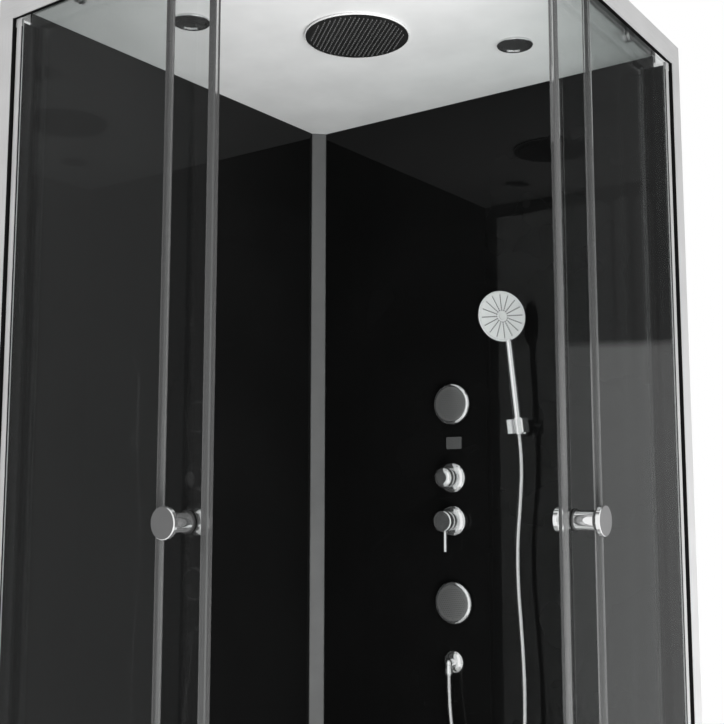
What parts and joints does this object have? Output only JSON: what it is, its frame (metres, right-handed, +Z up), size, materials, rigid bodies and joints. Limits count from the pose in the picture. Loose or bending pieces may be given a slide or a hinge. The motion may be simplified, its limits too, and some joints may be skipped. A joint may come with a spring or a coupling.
{
  "type": "steam shower cabin",
  "caption": "Square corner-entry steam shower cabin: black glass back panels, clear sliding doors on wheels, rain and hand shower, mixer and body jets over a tray on a frame.",
  "frame": {"origin": "on the floor under the centre of the square footprint, where the middle foot stands", "axes": "+Z up; the black back panels stand at -X and +Y; the glazed fronts face -Y and +X and meet at the entry corner (+X, -Y)"},
  "size_m": [0.913, 0.913, 2.1245],
  "materials": {
    "tray_acrylic": "glossy white acrylic",
    "frame_steel": "zinc-grey paint",
    "foot_plastic": "black nylon",
    "waste_plastic": "white polypropylene",
    "waste_chrome": "polished chrome",
    "black_panel": "black back-painted glass",
    "satin_aluminium": "satin anodised",
    "bracket_steel": "stainless",
    "gasket_rubber": "black seal",
    "roof_acrylic": "white acrylic",
    "clear_glass": "clear toughened glass",
    "edge_profile": "grey PVC",
    "door_profile": "translucent PVC",
    "hanger_steel": "stainless",
    "wheel_plastic": "acetal",
    "guide_plastic": "grey acetal",
    "knob_chrome": "polished chrome",
    "washer_plastic": "black washer",
    "rain_body": "satin white",
    "rain_face": "dark grey spray face",
    "pipe_steel": "stainless tube",
    "spot_chrome": "polished ring",
    "spot_glass": "smoked lens",
    "display_glass": "dark window",
    "fitting_chrome": "polished chrome",
    "valve_brass": "cast",
    "jet_seat": "plated brass",
    "jet_chrome": "chromed ABS",
    "spray_plastic": "white ABS",
    "hose_metal": "metal-wound shower hose",
    "boiler_steel": "stainless"
  },
  "bodies": {
    "cabin": {"shower_tray": "tray_acrylic", "tray_aprons": "tray_acrylic", "tray_frame": "frame_steel", "tray_feet": "foot_plastic", "waste_trap": "waste_plastic", "wall_glass_left": "black_panel", "wall_glass_right": "black_panel", "corner_profile": "satin_aluminium", "post_left": "satin_aluminium", "post_right": "satin_aluminium", "top_rail_left": "satin_aluminium", "top_rail_right": "satin_aluminium", "bottom_rail_left": "satin_aluminium", "bottom_rail_right": "satin_aluminium", "rear_rails": "satin_aluminium", "rail_corner_brackets": "bracket_steel", "glazing_gaskets": "gasket_rubber", "roof_panel": "roof_acrylic", "fixed_glass_left": "clear_glass", "fixed_glass_right": "clear_glass", "fixed_edge_seals": "edge_profile", "rain_shower_body": "rain_body", "rain_shower_face": "rain_face", "rain_feed_pipe": "pipe_steel", "water_pipes": "pipe_steel", "spot_rings": "spot_chrome", "spot_lenses": "spot_glass", "display": "display_glass", "valve_plates": "fitting_chrome", "hose_elbow": "fitting_chrome", "handset_holder": "fitting_chrome", "valve_body": "valve_brass", "jet_bodies": "jet_seat", "shower_hose": "hose_metal", "steam_unit": "boiler_steel"},
    "door_left": {"door_glass_left": "clear_glass", "door_seals_left": "door_profile", "door_hangers_left": "hanger_steel", "door_guides_left": "guide_plastic", "knob_left": "knob_chrome", "knob_washers_left": "washer_plastic"},
    "door_right": {"door_glass_right": "clear_glass", "door_seals_right": "door_profile", "door_hangers_right": "hanger_steel", "door_guides_right": "guide_plastic", "knob_right": "knob_chrome", "knob_washers_right": "washer_plastic"},
    "wheel_left_rear": {"wheel_left_rear": "wheel_plastic"},
    "wheel_left_front": {"wheel_left_front": "wheel_plastic"},
    "wheel_right_rear": {"wheel_right_rear": "wheel_plastic"},
    "wheel_right_front": {"wheel_right_front": "wheel_plastic"},
    "diverter_knob": {"diverter_knob": "fitting_chrome"},
    "mixer_cap": {"mixer_cap": "fitting_chrome"},
    "mixer_lever": {"mixer_lever": "fitting_chrome"},
    "jet_upper": {"jet_upper": "jet_chrome"},
    "jet_lower": {"jet_lower": "jet_chrome"},
    "hose_cone": {"hose_cone": "fitting_chrome"},
    "handset": {"handset_shell": "fitting_chrome", "handset_face": "spray_plastic"},
    "waste_cap": {"waste_cap": "waste_chrome"}
  },
  "joints": [
    {"name": "door_left_slide", "type": "slide", "parent": "cabin", "child": "door_left", "axis": [1, 0, 0], "range_m": [0, 0.367]},
    {"name": "door_right_slide", "type": "slide", "parent": "cabin", "child": "door_right", "axis": [0, -1, 0], "range_m": [0, 0.367]},
    {"name": "wheel_left_rear_roll", "type": "hinge", "parent": "door_left", "child": "wheel_left_rear", "pos_m": [-0.278, -0.425, 2.09155], "axis": [0, 1, 0], "range_deg": [0, 2635]},
    {"name": "wheel_left_front_roll", "type": "hinge", "parent": "door_left", "child": "wheel_left_front", "pos_m": [-0.05, -0.425, 2.09155], "axis": [0, 1, 0], "range_deg": [0, 2635]},
    {"name": "wheel_right_rear_roll", "type": "hinge", "parent": "door_right", "child": "wheel_right_rear", "pos_m": [0.425, 0.278, 2.09155], "axis": [1, 0, 0], "range_deg": [0, 2635]},
    {"name": "wheel_right_front_roll", "type": "hinge", "parent": "door_right", "child": "wheel_right_front", "pos_m": [0.425, 0.05, 2.09155], "axis": [1, 0, 0], "range_deg": [0, 2635]},
    {"name": "diverter_turn", "type": "hinge", "parent": "cabin", "child": "diverter_knob", "pos_m": [-0.0515, 0.385, 1.27], "axis": [0, -1, 0], "range_deg": [-60, 60]},
    {"name": "mixer_turn", "type": "hinge", "parent": "cabin", "child": "mixer_cap", "pos_m": [-0.0515, 0.385, 1.18], "axis": [0, -1, 0], "range_deg": [-45, 45]},
    {"name": "mixer_lever_lift", "type": "hinge", "parent": "mixer_cap", "child": "mixer_lever", "pos_m": [-0.0515, 0.384, 1.165], "axis": [-1, 0, 0], "range_deg": [0, 20]},
    {"name": "jet_upper_tilt", "type": "hinge", "parent": "cabin", "child": "jet_upper", "pos_m": [-0.0455, 0.4105, 1.425], "axis": [1, 0, 0], "range_deg": [-10, 10]},
    {"name": "jet_lower_tilt", "type": "hinge", "parent": "cabin", "child": "jet_lower", "pos_m": [-0.0455, 0.4105, 1.012], "axis": [1, 0, 0], "range_deg": [-10, 10]},
    {"name": "handset_lift", "type": "slide", "parent": "cabin", "child": "hose_cone", "axis": [-0.0736, -0.0673, 0.995], "range_m": [0, 0.04], "deforming": ["shower_hose"]},
    {"name": "handset_swivel", "type": "hinge", "parent": "hose_cone", "child": "handset", "pos_m": [0.1293, 0.372, 1.3555], "axis": [-0.0736, -0.0673, 0.995], "range_deg": [-90, 90]},
    {"name": "waste_cap_lift", "type": "slide", "parent": "cabin", "child": "waste_cap", "axis": [0, 0, 1], "range_m": [0, 0.03]}
  ],
  "couplings": [
    {"joint": "wheel_left_rear_roll", "follows": "door_left_slide", "rad_per_m": 125},
    {"joint": "wheel_left_front_roll", "follows": "door_left_slide", "rad_per_m": 125},
    {"joint": "wheel_right_rear_roll", "follows": "door_right_slide", "rad_per_m": 125},
    {"joint": "wheel_right_front_roll", "follows": "door_right_slide", "rad_per_m": 125}
  ]
}
